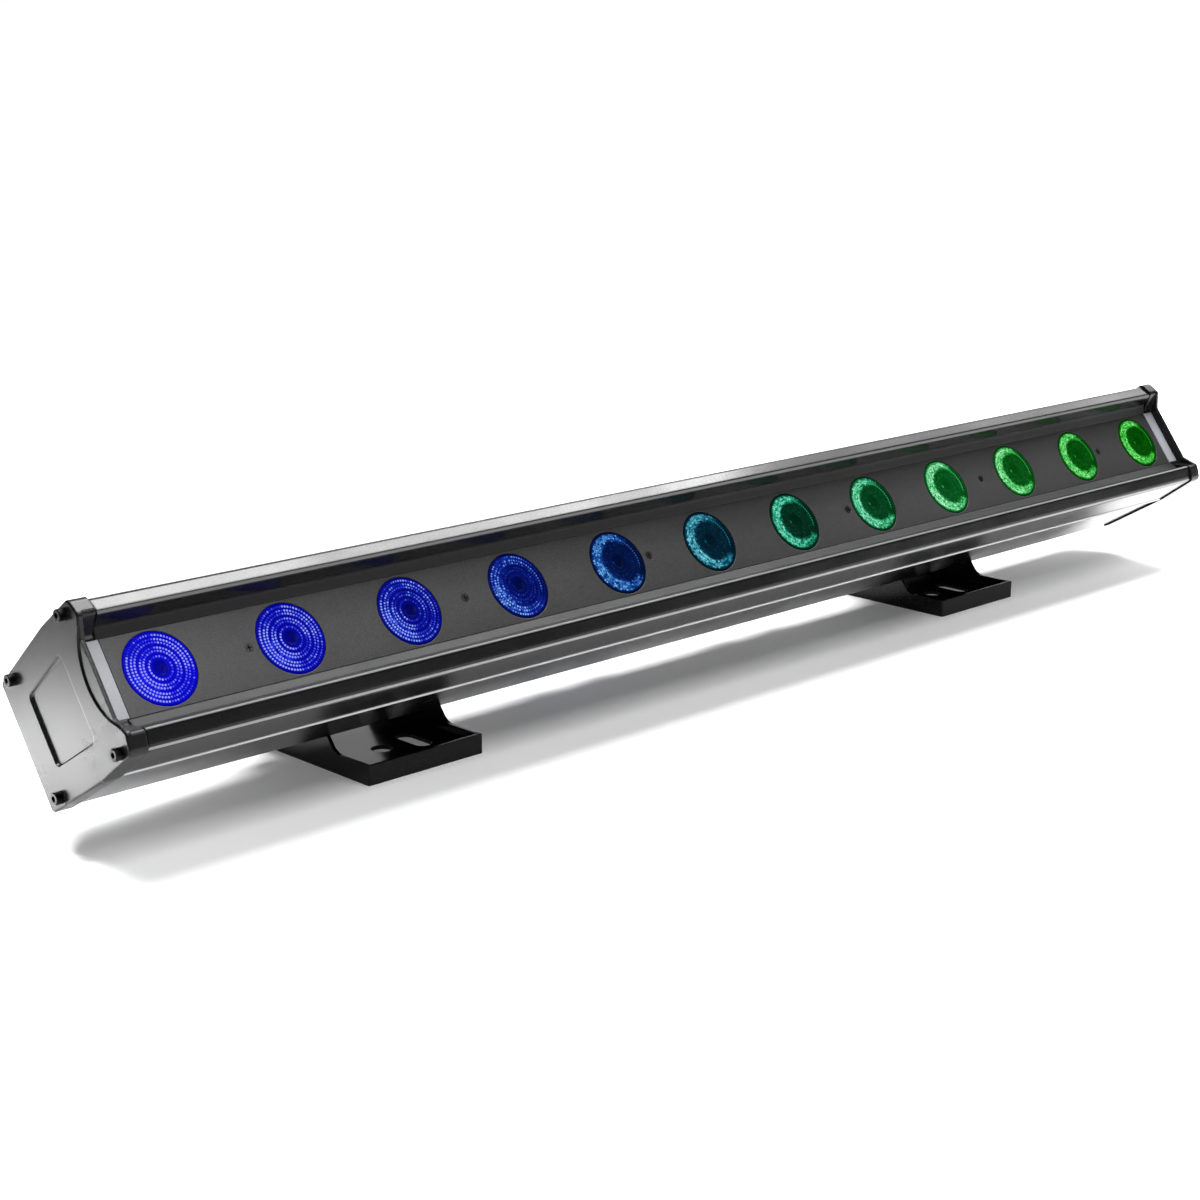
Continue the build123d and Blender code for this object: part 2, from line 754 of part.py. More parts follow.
def hinge_washers(x_centre, side):
    """Friction discs inside each cheek and a flat washer under the knob."""
    hole = hinge_bolt_radius + running_clearance
    inside = foot_width / 2 - cheek_thickness
    outside = foot_width / 2
    gap = inside - hinge_block_length / 2
    slack = (gap - friction_washer) / 2
    ranges = [
        (11.0, inside - slack - friction_washer, inside - slack),
        (11.0, -inside + slack, -inside + slack + friction_washer),
        (11.5, outside, outside + flat_washer),
    ]
    return [
        along_hinge(disc(radius, low, high) - disc(hole, low, high), x_centre, side)
        for radius, low, high in ranges
    ]


def tilt_knob(x_centre, side):
    """Star knob with six lobes, a collar and a blind bore for the bolt."""
    low = foot_width / 2 + flat_washer + 0.1
    grip_low = low + knob_collar_height
    top = low + knob_length
    lobe_radius = 4.0
    reach = knob_radius - lobe_radius
    star = Circle(knob_radius - 2.5)
    for i in range(knob_lobes):
        turn = radians(360 * i / knob_lobes)
        star += Pos(reach * cos(turn), reach * sin(turn)) * Circle(lobe_radius)
    grip = Pos(0, 0, grip_low) * extrude(star, amount=top - grip_low)
    grip = chamfer(edges_at(grip, top), 1.0)
    collar = disc(knob_collar_radius, low, grip_low)
    bore = disc(hinge_bolt_radius + running_clearance, low, low + bolt_thread + 1.0)
    return along_hinge(collar + grip - bore, x_centre, side)


# ---------------------------------------------------------------- nodes
def main():
    os.makedirs("parts", exist_ok=True)

    save("housing_extrusion", in_head(housing_extrusion()))
    save("lens_panel", in_head(lens_panel()))
    save("lens_panel_screws", [in_head(piece) for piece in panel_screws()])
    for number, x in enumerate(lens_spots, start=1):
        save(f"lens_{number:02d}", in_head(lens(x)))
    save("lens_holders", [in_head(piece) for piece in lens_holders()])
    save("led_emitters", [in_head(piece) for piece in led_emitters()])
    save("power_supply", in_head(power_supply()))
    save("driver_board", in_head(driver_board()))
    save("control_board", in_head(control_board()))
    save("wiring_harness", [in_head(piece) for piece in wiring_harness()])
    save("rear_panel", in_head(rear_panel()))
    save("rear_panel_gasket", in_head(rear_gasket()))
    save("rear_panel_screws", [in_head(piece) for piece in rear_panel_screws()])
    save("display_window", in_head(display_window()))
    save("display_module", in_head(display_module()))
    for number, x in enumerate(button_spots, start=1):
        save(f"menu_button_{number}", in_head(menu_button(x)))
    save("signal_input", in_head(connector(-signal_x, 13.0, 5.5, 5)))
    save("signal_output", in_head(connector(signal_x, 13.0, 5.5, 5)))
    save("power_input", in_head(connector(-mains_x, 14.0, 4.5, 3)))
    save("power_output", in_head(connector(mains_x, 14.0, 4.5, 3)))
    save("fuse_holder", in_head(fuse_holder()))

    for name, side in sides.items():
        x_centre = side * foot_spacing / 2
        save(f"end_cap_{name}", in_head(end_cap(side)))
        save(f"end_gasket_{name}", in_head(end_gasket(side)))
        save(f"end_cap_screws_{name}", [in_head(piece) for piece in cap_screws(side)])
        save(f"panel_end_strip_{name}", in_head(panel_end_strip(side)))
        save(f"led_board_{name}", in_head(led_board(side)))
        save(f"hinge_block_{name}", in_head(hinge_block(x_centre)))
        block_screws = hinge_block_screws(x_centre)
        save(f"hinge_block_screws_{name}", [in_head(piece) for piece in block_screws])
        save(f"foot_bracket_{name}", foot_bracket(x_centre))
        save(f"hinge_bolt_{name}", hinge_bolt(x_centre, side))
        save(f"hinge_washers_{name}", hinge_washers(x_centre, side))
        save(f"tilt_knob_{name}", tilt_knob(x_centre, side))


main()
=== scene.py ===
import json
import math
import random

import bmesh
import bpy
import numpy as np
from mathutils import Matrix, Vector


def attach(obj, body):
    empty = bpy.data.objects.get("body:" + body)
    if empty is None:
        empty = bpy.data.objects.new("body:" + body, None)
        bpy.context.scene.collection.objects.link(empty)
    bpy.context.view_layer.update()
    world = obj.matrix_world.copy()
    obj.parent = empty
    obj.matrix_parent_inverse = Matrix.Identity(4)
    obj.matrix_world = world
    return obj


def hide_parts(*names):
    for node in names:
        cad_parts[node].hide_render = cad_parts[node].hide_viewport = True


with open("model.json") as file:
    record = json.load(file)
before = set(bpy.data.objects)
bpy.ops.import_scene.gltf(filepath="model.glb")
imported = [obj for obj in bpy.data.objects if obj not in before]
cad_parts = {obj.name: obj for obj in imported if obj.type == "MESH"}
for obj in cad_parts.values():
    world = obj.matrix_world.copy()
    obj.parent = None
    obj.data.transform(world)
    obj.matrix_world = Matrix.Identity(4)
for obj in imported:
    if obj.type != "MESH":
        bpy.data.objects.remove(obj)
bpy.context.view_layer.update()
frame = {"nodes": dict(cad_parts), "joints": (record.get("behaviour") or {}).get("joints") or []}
nodes = frame["nodes"]

# Directions of the head at rest: along the bar, up the lens panel, and out of the lens panel.
ALONG = Vector((1, 0, 0))
press = next(joint for joint in frame["joints"] if joint["name"] == "button_1_press")
OUT = Vector(press["axis"]).normalized()
if OUT.y > 0:
    OUT = -OUT
UP = OUT.cross(ALONG).normalized()
if UP.z < 0:
    UP = -UP


def measured(node):
    """Vertices of a CAD node as a numpy array, in the shared frame."""
    return np.array([v.co for v in nodes[node].data.vertices], float)


# ---------------------------------------------------------------- materials

# The housing's section, in metres from the middle line and from the face of the lens panel.
LIP_HEIGHT = 0.0030
LIP_REACH = 0.0290
LIP_FADE = 0.001
LIP_EXTRA_ROUGHNESS = 0.32
# Painted highlight lines along the ridges of the sides: distance from the middle line, height, reach
# and strength.
PAINTED_HIGHLIGHT_LINES = (
    (0.0429, -0.025, 0.0011, 1.0),
    (0.0433, 0.008, 0.0011, 0.45),
    (0.0324, 0.0126, 0.0011, 0.22),
)
# Soft edge and grey colour of the painted highlight lines.
PAINTED_HIGHLIGHT_FADE = 0.0004
PAINTED_HIGHLIGHT_COLOUR = (0.5, 0.5, 0.5)
# The part of a noise's range that holds most of its values.
NOISE_LOW = 0.3
NOISE_HIGH = 0.7
# Share of the rubbed colour along an edge, for each unit of worn.
WEAR_GAIN = 8


def scaled(colour, factor):
    """A colour with every channel multiplied by the factor."""
    return tuple(c * factor for c in colour)


def linear(srgb):
    """Linear RGB of a 0-255 sRGB colour."""
    out = []
    for value in srgb:
        v = value / 255
        out.append(v / 12.92 if v <= 0.04045 else ((v + 0.055) / 1.055) ** 2.4)
    return tuple(out)


class Shader:
    """A Principled material with the small node patterns that the finishes share."""

    def __init__(self, name, rough=0.4, metallic=0.0, specular=0.5, coat=0.0, coat_rough=0.1):
        self.material = bpy.data.materials.new(name)
        self.material.use_nodes = True
        self.tree = self.material.node_tree
        self.tree.nodes.clear()
        self.out = self.add("ShaderNodeOutputMaterial")
        self.bsdf = self.add("ShaderNodeBsdfPrincipled")
        self.link(self.bsdf.outputs["BSDF"], self.out.inputs["Surface"])
        self.coords = self.add("ShaderNodeTexCoord").outputs["Object"]
        self.normal = None
        self.set("Roughness", rough)
        self.set("Metallic", metallic)
        self.set("Specular IOR Level", specular)
        self.set("Coat Weight", coat)
        self.set("Coat Roughness", coat_rough)

    def add(self, kind, **settings):
        node = self.tree.nodes.new(kind)
        for key, value in settings.items():
            setattr(node, key, value)
        return node

    def link(self, a, b):
        self.tree.links.new(a, b)

    def set(self, socket, value):
        self.bsdf.inputs[socket].default_value = value

    def stretched(self, scale):
        mapping = self.add("ShaderNodeMapping")
        mapping.inputs["Scale"].default_value = scale
        self.link(self.coords, mapping.inputs["Vector"])
        return mapping.outputs["Vector"]

    def noise(self, scale, detail=4.0, rough=0.55, stretch=None, distortion=0.0):
        node = self.add("ShaderNodeTexNoise")
        node.inputs["Scale"].default_value = scale
        node.inputs["Detail"].default_value = detail
        node.inputs["Roughness"].default_value = rough
        node.inputs["Distortion"].default_value = distortion
        source = self.stretched(stretch) if stretch else self.coords
        self.link(source, node.inputs["Vector"])
        return node.outputs["Fac"]

    def cells(self, scale, randomness=1.0):
        node = self.add("ShaderNodeTexVoronoi")
        node.inputs["Scale"].default_value = scale
        node.inputs["Randomness"].default_value = randomness
        self.link(self.coords, node.inputs["Vector"])
        return node.outputs["Distance"]

    def remap(self, value, low, high, to_low, to_high):
        node = self.add("ShaderNodeMapRange")
        node.inputs["From Min"].default_value = low
        node.inputs["From Max"].default_value = high
        node.inputs["To Min"].default_value = to_low
        node.inputs["To Max"].default_value = to_high
        self.link(value, node.inputs["Value"])
        return node.outputs["Result"]

    def swing(self, noise, to_low, to_high):
        """Stretches the usual range of a noise to the given one."""
        return self.remap(noise, NOISE_LOW, NOISE_HIGH, to_low, to_high)

    def math(self, operation, a, b):
        node = self.add("ShaderNodeMath", operation=operation)
        for socket, value in zip(node.inputs, (a, b)):
            if isinstance(value, (int, float)):
                socket.default_value = value
            else:
                self.link(value, socket)
        return node.outputs["Value"]

    def mix(self, factor, a, b):
        node = self.add("ShaderNodeMix", data_type="RGBA")
        self.link(factor, node.inputs[0])
        for socket, value in ((node.inputs[6], a), (node.inputs[7], b)):
            if isinstance(value, (tuple, list)):
                socket.default_value = (*value[:3], 1)
            else:
                self.link(value, socket)
        return node.outputs[2]

    def colour(self, socket):
        self.link(socket, self.bsdf.inputs["Base Color"])

    def roughness(self, socket):
        self.link(socket, self.bsdf.inputs["Roughness"])

    def bump(self, height, distance):
        node = self.add("ShaderNodeBump")
        node.inputs["Strength"].default_value = 1.0
        node.inputs["Distance"].default_value = distance
        self.link(height, node.inputs["Height"])
        if self.normal is not None:
            self.link(self.normal, node.inputs["Normal"])
        self.normal = node.outputs["Normal"]
        self.link(self.normal, self.bsdf.inputs["Normal"])

    def edge(self, radius, gain):
        """Rounds sharp edges in shading, and returns a mask that is 1 along them."""
        bevel = self.add("ShaderNodeBevel", samples=6)
        bevel.inputs["Radius"].default_value = radius
        geometry = self.add("ShaderNodeNewGeometry")
        dot = self.add("ShaderNodeVectorMath", operation="DOT_PRODUCT")
        self.link(bevel.outputs["Normal"], dot.inputs[0])
        self.link(geometry.outputs["Normal"], dot.inputs[1])
        self.normal = bevel.outputs["Normal"]
        self.link(self.normal, self.bsdf.inputs["Normal"])
        apart = self.math("SUBTRACT", 1.0, dot.outputs["Value"])
        return self.remap(apart, 0.0, 1.0 / gain, 0.0, 1.0)


def section_place(s):
    """Sockets for the height out of the lens panel and the distance from its middle line."""
    panel = measured("lens_panel")
    face = float((panel @ np.array(OUT)).max())
    rise = panel @ np.array(UP)
    middle = float(rise.max() + rise.min()) / 2
    places = []
    for direction, start in ((OUT, face), (UP, middle)):
        dot = s.add("ShaderNodeVectorMath", operation="DOT_PRODUCT")
        s.link(s.coords, dot.inputs[0])
        dot.inputs[1].default_value = direction
        places.append(s.math("SUBTRACT", dot.outputs["Value"], start))
    height, across = places
    return height, s.math("ABSOLUTE", across, 0.0)


def lip_mask(s):
    """1 on the lips beside the lens panel, which are textured like the panel, and 0 elsewhere."""
    height, across = section_place(s)
    low = s.remap(height, LIP_HEIGHT, LIP_HEIGHT + LIP_FADE, 1.0, 0.0)
    near = s.remap(across, LIP_REACH, LIP_REACH + LIP_FADE, 1.0, 0.0)
    return s.math("MULTIPLY", low, near)


def painted_highlight_mask(s):
    """Painted highlight lines along the profile: the strength of each line at its place, and 0
    elsewhere.
    """
    height, across = section_place(s)
    lines = 0.0
    for highlight_across, highlight_height, reach, strength in PAINTED_HIGHLIGHT_LINES:
        side = s.math("POWER", s.math("SUBTRACT", across, highlight_across), 2.0)
        rise = s.math("POWER", s.math("SUBTRACT", height, highlight_height), 2.0)
        apart = s.math("POWER", s.math("ADD", side, rise), 0.5)
        line = s.remap(apart, reach, reach + PAINTED_HIGHLIGHT_FADE, strength, 0.0)
        lines = s.math("ADD", line, lines)
    return lines


def coated(
    name,
    base,
    rough,
    grain=1100,
    grain_depth=0.00005,
    edge_radius=0.0005,
    worn=0.05,
    streak=False,
    specular=0.5,
    rough_swing=0.07,
    fleck=0.25,
    profiled=False,
):
    """Black or grey coating on metal: fine texture, uneven gloss, lighter rubbed edges."""
    s = Shader(name, specular=specular)
    edge = s.edge(edge_radius, gain=6)
    broad = s.noise(scale=9, detail=5, rough=0.6)
    fine = s.noise(scale=grain, detail=3, rough=0.6)
    scuffs = s.noise(scale=60, detail=6, rough=0.7, stretch=(0.25, 1.5, 1.5), distortion=0.4)
    flecks = s.remap(fine, low=0.35, high=0.65, to_low=0, to_high=1)
    tone = s.mix(flecks, scaled(base, 1 - fleck), scaled(base, 1 + fleck))
    rub = s.math("MULTIPLY", edge, s.remap(scuffs, low=0.42, high=0.62, to_low=0.15, to_high=1.0))
    tone = s.mix(s.math("MULTIPLY", rub, worn * WEAR_GAIN), tone, tuple(c + worn for c in base))
    gloss = s.swing(broad, rough - rough_swing, rough + rough_swing)
    if profiled:
        # Grey painted highlight lines along the ridges of the profile.
        tone = s.mix(painted_highlight_mask(s), tone, PAINTED_HIGHLIGHT_COLOUR)
        gloss = s.math("ADD", gloss, s.math("MULTIPLY", lip_mask(s), LIP_EXTRA_ROUGHNESS))
    s.colour(tone)
    marks = s.remap(scuffs, low=0.55, high=0.75, to_low=0.0, to_high=0.05)
    s.roughness(s.math("ADD", gloss, marks))
    s.bump(fine, grain_depth)
    if streak:
        lines = s.noise(scale=1, detail=3, rough=0.5, stretch=(2.5, 1400, 1400))
        s.bump(lines, distance=0.000018)
    return s.material


def plastic(name, base, rough, grain=2200, depth=0.00004):
    """Moulded plastic or rubber with a fine spark-eroded grain."""
    s = Shader(name, rough=rough, specular=0.45)
    edge = s.edge(radius=0.0003, gain=5)
    fine = s.cells(grain)
    broad = s.noise(scale=35, detail=5, rough=0.6)
    tone = s.mix(s.swing(broad, 0, 1), scaled(base, 0.85), scaled(base, 1.2))
    s.colour(s.mix(s.math("MULTIPLY", edge, 0.3), tone, tuple(c * 1.6 + 0.01 for c in base)))
    s.roughness(s.swing(broad, rough - 0.06, rough + 0.08))
    s.bump(fine, depth)
    return s.material


def bare_metal(name, base, rough):
    """Turned or brushed metal with fine directional lines."""
    s = Shader(name, metallic=1.0, rough=rough)
    edge = s.edge(radius=0.0002, gain=5)
    lines = s.noise(scale=1, detail=4, rough=0.6, stretch=(900, 60, 60))
    broad = s.noise(scale=40, detail=4, rough=0.6)
    tone = s.mix(s.swing(lines, 0, 1), scaled(base, 0.82), scaled(base, 1.15))
    s.colour(s.mix(s.math("MULTIPLY", edge, 0.5), tone, scaled(base, 1.4)))
    s.roughness(s.swing(broad, rough - 0.07, rough + 0.1))
    s.bump(lines, distance=0.00001)
    return s.material


def circuit_board(name, base, mask):
    """Solder mask over a faint pattern of tracks."""
    s = Shader(name, rough=0.35, coat=0.3)
    tracks = s.add("ShaderNodeTexBrick")
    tracks.inputs["Scale"].default_value = 160
    tracks.inputs["Mortar Size"].default_value = 0.012
    tracks.inputs["Color1"].default_value = (*base, 1)
    tracks.inputs["Color2"].default_value = (*scaled(base, 0.9), 1)
    tracks.inputs["Mortar"].default_value = (*mask, 1)
    s.link(s.coords, tracks.inputs["Vector"])
    s.colour(tracks.outputs["Color"])
    s.roughness(s.swing(s.noise(scale=300), 0.28, 0.42))
    s.bump(tracks.outputs["Fac"], distance=0.00002)
    return s.material


def window_material():
    """Smoked clear plastic with a faint haze."""
    s = Shader("window_smoked", rough=0.12, specular=0.6, coat=0.5, coat_rough=0.04)
    haze = s.noise(scale=50, detail=5, rough=0.6)
    s.colour(s.mix(s.swing(haze, 0, 1), (0.03, 0.034, 0.04), (0.05, 0.055, 0.06)))
    s.roughness(s.swing(haze, 0.08, 0.2))
    s.bump(s.noise(scale=900), distance=0.000008)
    return s.material


# The finish of each record slot. Colours are linear.
finishes = {
    "housing_black": coated(
        "housing_satin", (0.005, 0.005, 0.0052), rough=0.20, streak=True, worn=0.015,
        specular=0.21, profiled=True, grain_depth=0.00002, edge_radius=0.0016,
    ),
    "cap_black": coated(
        "cap_satin", (0.006, 0.006, 0.0062), rough=0.27, grain=900,
        grain_depth=0.00004, worn=0.02, specular=0.22, edge_radius=0.0010,
    ),
    "panel_grey": coated(
        "panel_texture", (0.024, 0.024, 0.0236), rough=0.38, grain=1500,
        grain_depth=0.00010, specular=0.30, worn=0.02, fleck=0.45,
    ),
    "foot_black": coated(
        "foot_gloss", (0.005, 0.005, 0.0052), rough=0.13, grain=700, grain_depth=0.00002,
        worn=0.02, specular=0.16, rough_swing=0.04, edge_radius=0.0006,
    ),
    "hinge_black": coated(
        "hinge_satin", (0.010, 0.010, 0.0105), rough=0.32, grain=900, specular=0.3,
    ),
    "rear_panel_black": coated(
        "rear_panel_satin", (0.012, 0.012, 0.0125), rough=0.40, grain=1300, specular=0.3,
    ),
    "screw_black": bare_metal("screw_oxide", (0.012, 0.012, 0.013), rough=0.38),
    "panel_screw": bare_metal("panel_screw_oxide", (0.03, 0.03, 0.031), rough=0.42),
    "strip_grey": coated(
        "strip_anodised", (0.22, 0.225, 0.245), rough=0.42, grain=1800, grain_depth=0.00002,
        worn=0.08, specular=0.5, fleck=0.10, edge_radius=0.0003,
    ),
    "bolt_steel": bare_metal("bolt_zinc", (0.52, 0.52, 0.53), rough=0.3),
    "washer": bare_metal("washer_steel", (0.62, 0.60, 0.56), rough=0.28),
    "knob_black": plastic("knob_moulded", (0.016, 0.016, 0.016), rough=0.4),
    "gasket_rubber": plastic(
        "gasket_foam", (0.011, 0.011, 0.011), rough=0.75, grain=1600, depth=0.00008,
    ),
    "holder_black": plastic("holder_moulded", (0.018, 0.018, 0.018), rough=0.5),
    "wire_sleeve": plastic("wire_sleeving", (0.02, 0.02, 0.02), rough=0.6),
    "connector_black": plastic("connector_moulded", (0.017, 0.017, 0.017), rough=0.45),
    "power_blue": plastic("power_in_moulded", (0.018, 0.11, 0.42), rough=0.42),
    "power_grey": plastic("power_out_moulded", (0.36, 0.37, 0.39), rough=0.42),
    "button": plastic("button_rubber", (0.26, 0.26, 0.27), rough=0.6),
    "display": plastic("display_case", (0.02, 0.05, 0.06), rough=0.3),
    "emitter": plastic("emitter_phosphor", (0.75, 0.68, 0.35), rough=0.35),
    "supply_case": bare_metal("supply_sheet", (0.52, 0.53, 0.55), rough=0.4),
    "board_white": circuit_board("board_white_mask", (0.72, 0.72, 0.71), (0.55, 0.55, 0.54)),
    "board_green": circuit_board("board_green_mask", (0.015, 0.15, 0.05), (0.05, 0.28, 0.12)),
    "window": window_material(),
}

for obj in nodes.values():
    for entry in obj.material_slots:
        key = entry.material.name.split(".")[0] if entry.material else ""
        if key in finishes:
            entry.material = finishes[key]


# ---------------------------------------------------------------- lenses

LENS_COUNT = 12
# Colours of a lit lens (0-255 sRGB), one row per brightness from darkest to brightest, and one
# column per lens number in PALETTE_AT.
PALETTE_AT = (1, 3, 5, 7, 9, 12)
PALETTE = (
    ((5, 5, 140), (1, 4, 82), (1, 12, 49), (1, 36, 23), (1, 78, 22), (1, 70, 1)),
    ((20, 19, 205), (15, 25, 156), (4, 30, 86), (3, 56, 38), (6, 97, 39), (4, 89, 4)),
    ((52, 52, 219), (42, 56, 188), (30, 69, 129), (29, 101, 81), (38, 126, 71), (23, 117, 23)),
    (
        (85, 86, 238), (86, 107, 220), (60, 123, 187),
        (67, 181, 157), (130, 212, 161), (102, 201, 103),
    ),
    (
        (205, 208, 255), (200, 216, 255), (185, 228, 255),
        (190, 250, 235), (222, 255, 235), (195, 255, 195),
    ),
)
# The raised facets: radii of their rings, spacing, size and how deep their feet go, in mm.
DOT_RINGS = (6.6, 9.7, 11.6, 14.6, 16.5, 18.9)
DOT_PITCH = 1.75
DOT_RADIUS = 0.80
DOT_HEIGHT = 0.30
DOT_ROOT = 0.12
DOT_FOOT_LEVEL = 0.1
DOT_SIDES = 8
# Belts of a facet: share of its radius, share of its height, and share of its brightness.
DOT_BELTS = ((0.62, 0.72, 0.9), (1.0, -0.25, 0.55))
# The front face under the crown, in mm: depth, extra depth at the rim, and the cup in the middle.
FACE_DEPTH = 0.34
FACE_FALL = 0.45
CUP_DEPTH = 0.55
CUP_WALL = 1.6
CORE_RADIUS = 4.4
# The rings of vertices on the front face, and the skirt and underside below it, in mm.
FACE_RINGS = 28
FIRST_RING = 0.6
RING_MARGIN = 1.0
SKIRT_TOP = 1.15
SKIRT_FOOT = 2.6
UNDERSIDE = 2.8
UNDERSIDE_INSET = 2.5
SKIRT_LEVEL = 0.22
HUB_LEVEL = 0.03
STEPS = 96
SEED = 900
# The crescent, in shares of the lens radius: places of the bowl and the glint, and where each
# part of the reflector begins and ends.
BOWL_PLACE = (0.10, 0.02)
BOWL_EDGE = (0.57, 0.72)
BAND_EDGE = (0.88, 0.97)
RIM_EDGE = (0.9, 0.97)
GLINT_PLACE = (-0.17, 0.02)
GLINT_EDGE = (0.03, 0.09)
INNER_EDGE = (0.04, 0.34)
# Lit sides of a lens, as the middle angle and the half width in degrees.
BROAD_SIDE = (170, 170)
SMALL_SIDE = (285, 50)
SPARKLE_SIDE = (215, 60)
WEAVE_SIDE = (35, 60)
LOWER_LEFT_SIDE = (210, 75)
FAR_DOT_SIDE = (25, 70)
# Brightness that goes from the first number up by the second, with a lit side or a random patch.
BAND_LEVEL = (0.18, 0.82)
BAND_PATCH = (0.72, 0.34)
INNER_PATCH = (0.30, 0.30)
FACE_PATCH = (0.18, 0.18)
# Brightness of single parts, on the same scale.
SMALL_SIDE_LEVEL = 0.9
RIM_LEVEL = 0.30
GLINT_LEVEL = 0.55
SPARKLE_LEVEL = 0.48
FACE_LEVEL = 0.03
DOT_LEVEL = 0.92
LOWER_LEFT_LEVEL = 0.30
WEAVE_LEVEL = 0.20
FAR_DOT_LEVEL = 0.85
# Where the parts of the lit face begin and end, in shares of the lens radius.
CORE_EDGE = (0.10, 0.30)
SPARKLE_INSIDE = (0.3, 0.5)
SPARKLE_OUTSIDE = (0.82, 0.93)
WEAVE_EDGE = (0.35, 0.5)
FAR_DOT_INSIDE = (0.74, 0.77)
FAR_DOT_OUTSIDE = (0.80, 0.84)
# How far each lens shows its rings of facets (1) or the bright crescent of its reflector (0).
RING_SHARE = (1.0, 0.95, 0.72, 0.42, 0.15, 0.06, 0.03, 0.02, 0.0, 0.0, 0.0, 0.0)


def lens_colour(number, level):
    """Linear colour of lens number at a brightness level from 0 to 1."""
    stops = []
    for row in PALETTE:
        stops.append([np.interp(number, PALETTE_AT, [c[k] for c in row]) for k in range(3)])
    at = min(max(level, 0.0), 1.0) * (len(stops) - 1)
    k = min(int(at), len(stops) - 2)
    mixed = [stops[k][c] + (stops[k + 1][c] - stops[k][c]) * (at - k) for c in range(3)]
    return (*linear(mixed), 1.0)


def smooth(low, high, value):
    """0 below low, 1 above high, and an even curve between them."""
    t = min(max((value - low) / (high - low), 0.0), 1.0)
    return t * t * (3 - 2 * t)


def around(angle, centre, width):
    """1 at the centre angle in degrees, falling to 0 at width away from it."""
    apart = abs((angle - centre + 180) % 360 - 180)
    return 1 - smooth(width * 0.55, width, apart)


def sloped(level, value):
    """The first number of level, plus the second times the value."""
    return level[0] + level[1] * value


def crescent(u, v, patch):
    """Light in the collimator away from the beam: a bright crescent round an offset dark bowl."""
    r = math.hypot(u, v)
    angle = math.degrees(math.atan2(v, u))
    bowl = smooth(*BOWL_EDGE, math.hypot(u - BOWL_PLACE[0], v - BOWL_PLACE[1]))
    band = bowl * (1 - smooth(*BAND_EDGE, r))
    side = max(around(angle, *BROAD_SIDE), SMALL_SIDE_LEVEL * around(angle, *SMALL_SIDE))
    level = band * sloped(BAND_LEVEL, side) * sloped(BAND_PATCH, patch)
    rim = RIM_LEVEL * smooth(*RIM_EDGE, r)
    off_glint = math.hypot(u - GLINT_PLACE[0], v - GLINT_PLACE[1])
    glint = GLINT_LEVEL * (1 - smooth(*GLINT_EDGE, off_glint))
    inner = (1 - bowl) * sloped(INNER_PATCH, patch) * smooth(*INNER_EDGE, r)
    return level + rim + inner + glint


def rings(u, v, patch):
    """Light in the beam: a saturated face with a dark core and a patch of sparkle."""
    r = math.hypot(u, v)
    angle = math.degrees(math.atan2(v, u))
    core = smooth(*CORE_EDGE, r)
    sparkle = around(angle, *SPARKLE_SIDE) * smooth(*SPARKLE_INSIDE, r)
    sparkle *= 1 - smooth(*SPARKLE_OUTSIDE, r)
    return core * sloped(FACE_PATCH, patch) + SPARKLE_LEVEL * sparkle * patch + FACE_LEVEL


def lens_level(number, u, v, patch):
    """Brightness of the front face at (u, v), in shares of the lens radius."""
    share = RING_SHARE[number - 1]
    return share * rings(u, v, patch) + (1 - share) * crescent(u, v, patch)


def dot_level(number, u, v, chance):
    """Brightness of a raised facet at (u, v), in shares of the lens radius."""
    share = RING_SHARE[number - 1]
    r = math.hypot(u, v)
    angle = math.degrees(math.atan2(v, u))
    weave = around(angle, *WEAVE_SIDE) * smooth(*WEAVE_EDGE, r)
    lower_left = around(angle, *LOWER_LEFT_SIDE)
    lit = DOT_LEVEL + LOWER_LEFT_LEVEL * lower_left + WEAVE_LEVEL * weave
    ringed = lit + 0.25 * (chance - 0.5)
    edge_dots = around(angle, *FAR_DOT_SIDE) * smooth(*FAR_DOT_INSIDE, r)
    edge_dots *= 1 - smooth(*FAR_DOT_OUTSIDE, r)
    plain = crescent(u, v, chance)
    far = max(plain + 0.10 * (chance - 0.3), FAR_DOT_LEVEL * edge_dots)
    return share * ringed + (1 - share) * far


def lens_glow(number):
    """Clear lens that glows with the colours painted on its vertices."""
    s = Shader(f"lens_lit_{number:02d}", rough=0.3, specular=0.008)
    tint = s.add("ShaderNodeVertexColor", layer_name="glow")
    cells = s.cells(scale=900, randomness=0.6)
    shade = s.remap(cells, low=0.0, high=0.7, to_low=1.12, to_high=0.86)
    shaded = s.add("ShaderNodeVectorMath", operation="SCALE")
    s.link(tint.outputs["Color"], shaded.inputs[0])
    s.link(shade, shaded.inputs["Scale"])
    s.link(shaded.outputs["Vector"], s.bsdf.inputs["Emission Color"])
    s.set("Emission Strength", 1.0)
    deep = lens_colour(number, 0.1)[:3]
    s.set("Base Color", (*scaled(deep, 0.3), 1))
    s.roughness(s.swing(s.noise(scale=400), 0.16, 0.3))
    s.bump(cells, distance=0.00003)
    return s.material


